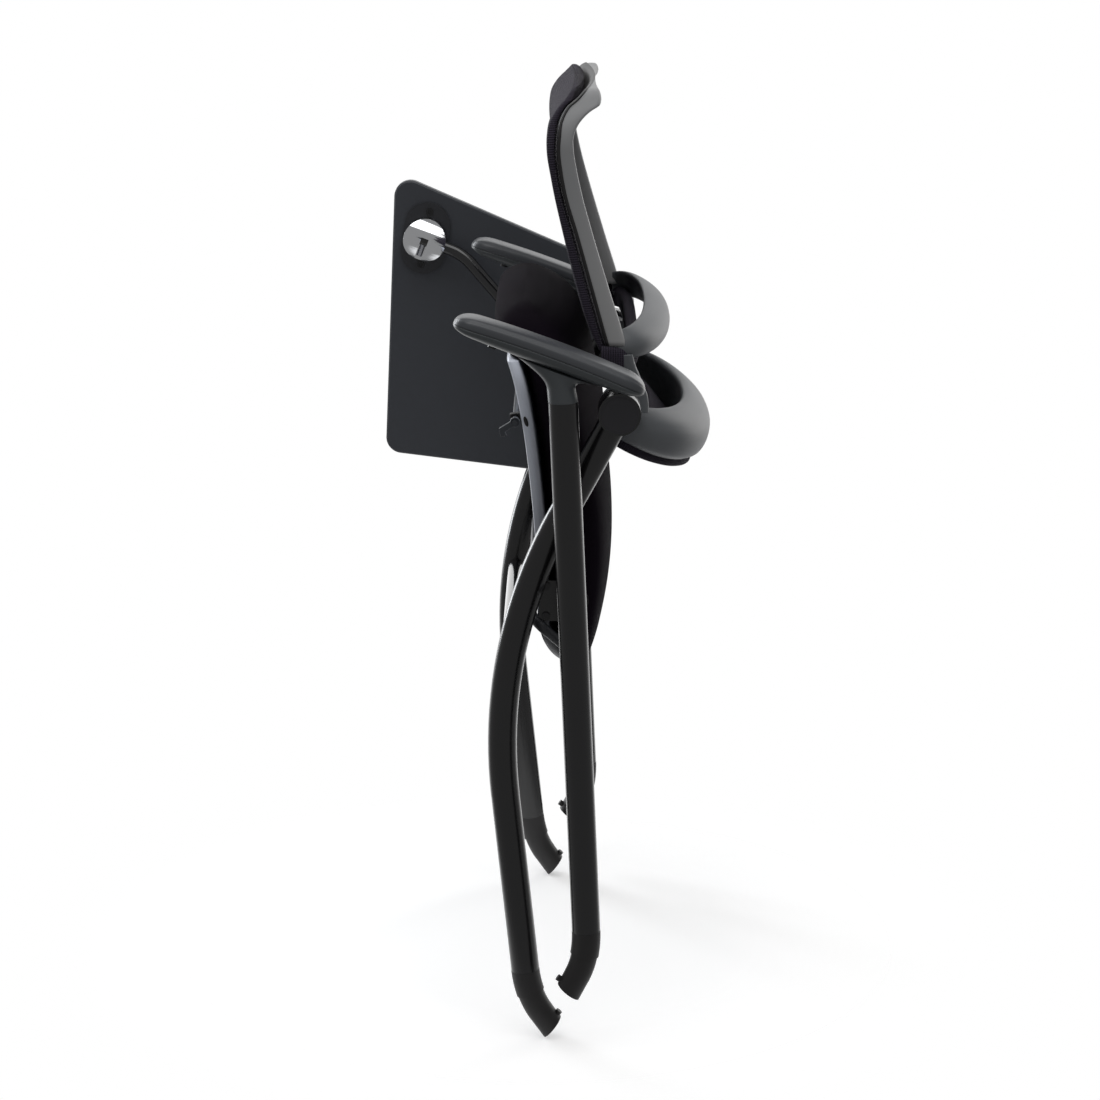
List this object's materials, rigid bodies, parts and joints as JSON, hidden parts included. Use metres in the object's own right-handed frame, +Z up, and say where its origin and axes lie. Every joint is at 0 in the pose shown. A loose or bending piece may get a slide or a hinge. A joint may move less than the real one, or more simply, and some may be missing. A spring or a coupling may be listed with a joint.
{
  "type": "nesting chair with writing tablet",
  "caption": "Folded nesting chair with crossed tube legs, arm pads, a flexing knit back, a tip-up seat, a latch and a writing tablet that swivels and flips.",
  "frame": {"origin": "middle of the overall box of the folded chair, at the floor under the toes of the front feet", "axes": "+Z up, -X to the front of the chair (the way a sitter faces), +Y to the sitter's right, where the tablet is"},
  "size_m": [0.3856, 0.687, 1.0136],
  "materials": {
    "leg_paint": "satin powder coat",
    "rod_paint": "gloss powder coat",
    "black_plastic": "fine matt grain",
    "pin_steel": "turned",
    "screw_steel": "blackened",
    "arm_plastic": "satin, fine grain",
    "bracket_aluminium": "satin powder coat",
    "bush_rubber": "matt",
    "cap_plastic": "satin",
    "back_plastic": "satin, fine grain",
    "knit_fabric": "ribbed knit",
    "seat_fabric": "plain weave with mesh sides",
    "shell_plastic": "satin",
    "latch_steel": "satin",
    "drum_chrome": "polished",
    "plate_plastic": "satin",
    "tablet_plastic": "satin"
  },
  "bodies": {
    "pivots": {"left_pivot_stud": "pin_steel", "right_pivot_stud": "pin_steel"},
    "front_frame": {"left_front_leg": "leg_paint", "left_front_collar": "black_plastic", "left_front_foot": "black_plastic", "left_hub": "leg_paint", "left_hub_cap": "cap_plastic", "left_hub_bush": "bush_rubber", "right_front_leg": "leg_paint", "right_front_collar": "black_plastic", "right_front_foot": "black_plastic", "right_hub": "leg_paint", "right_hub_cap": "cap_plastic", "right_hub_bush": "bush_rubber", "front_cross_tube": "rod_paint"},
    "rear_frame": {"left_rear_leg": "leg_paint", "left_rear_collar": "black_plastic", "left_rear_foot": "black_plastic", "left_arm_bracket": "bracket_aluminium", "left_arm_base": "arm_plastic", "left_arm_pad": "arm_plastic", "left_seat_pin": "pin_steel", "right_rear_leg": "leg_paint", "right_rear_collar": "black_plastic", "right_rear_foot": "black_plastic", "right_arm_bracket": "bracket_aluminium", "right_arm_base": "arm_plastic", "right_arm_pad": "arm_plastic", "right_seat_pin": "pin_steel", "arm_screws": "screw_steel", "tablet_socket": "black_plastic", "tablet_rod": "rod_paint", "tablet_stop_pin": "pin_steel"},
    "seat": {"seat_shell": "shell_plastic", "seat_cushion": "seat_fabric", "left_seat_bracket": "leg_paint", "right_seat_bracket": "leg_paint", "seat_bracket_screws": "screw_steel", "seat_tube": "rod_paint", "latch_lugs": "shell_plastic"},
    "latch": {"latch_rod": "latch_steel", "latch_hooks": "latch_steel"},
    "back": {"left_hub_spindle": "back_plastic", "left_back_link": "back_plastic", "right_hub_spindle": "back_plastic", "right_back_link": "back_plastic", "back_frame": "back_plastic", "upper_bow": "back_plastic", "lower_bow": "back_plastic", "back_knit_pad": "knit_fabric", "lumbar_cover": "knit_fabric"},
    "tablet_drum_body": {"tablet_drum": "drum_chrome"},
    "tablet": {"tablet_swivel_pin": "pin_steel", "tablet_oval_plate": "plate_plastic", "tablet_screws": "screw_steel", "tablet_top": "tablet_plastic"}
  },
  "joints": [
    {"name": "front_leg_fold", "type": "hinge", "parent": "pivots", "child": "front_frame", "pos_m": [0.03545, -0.0435, 0.59339], "axis": [0, 1, 0], "range_deg": [0, 26]},
    {"name": "rear_leg_fold", "type": "hinge", "parent": "pivots", "child": "rear_frame", "pos_m": [0.03545, -0.0435, 0.59339], "axis": [0, 1, 0], "range_deg": [-12, 0]},
    {"name": "seat_fold", "type": "hinge", "parent": "rear_frame", "child": "seat", "pos_m": [0.04025, -0.0435, 0.48349], "axis": [0, 1, 0], "range_deg": [-70, 0]},
    {"name": "latch_turn", "type": "hinge", "parent": "seat", "child": "latch", "pos_m": [-0.02005, -0.0435, 0.67339], "axis": [0, 1, 0], "range_deg": [0, 20], "stiffness_Nm_per_rad": 0.5, "springref_deg": -17.19},
    {"name": "back_recline", "type": "hinge", "parent": "front_frame", "child": "back", "pos_m": [0.08819, -0.0435, 0.69174], "axis": [0, 1, 0], "range_deg": [0, 12], "stiffness_Nm_per_rad": 90, "springref_deg": -6.88},
    {"name": "tablet_flip", "type": "hinge", "parent": "rear_frame", "child": "tablet_drum_body", "pos_m": [-0.14095, 0.3135, 0.78239], "axis": [0.9342, 0, -0.3567], "range_deg": [0, 90]},
    {"name": "tablet_swivel", "type": "hinge", "parent": "tablet_drum_body", "child": "tablet", "pos_m": [-0.14095, 0.3135, 0.78239], "axis": [0, 1, 0], "range_deg": [0, 180]}
  ],
  "couplings": [
    {"joint": "rear_leg_fold", "follows": "front_leg_fold", "ratio": -0.46154},
    {"joint": "seat_fold", "follows": "front_leg_fold", "ratio": -2.6923}
  ]
}
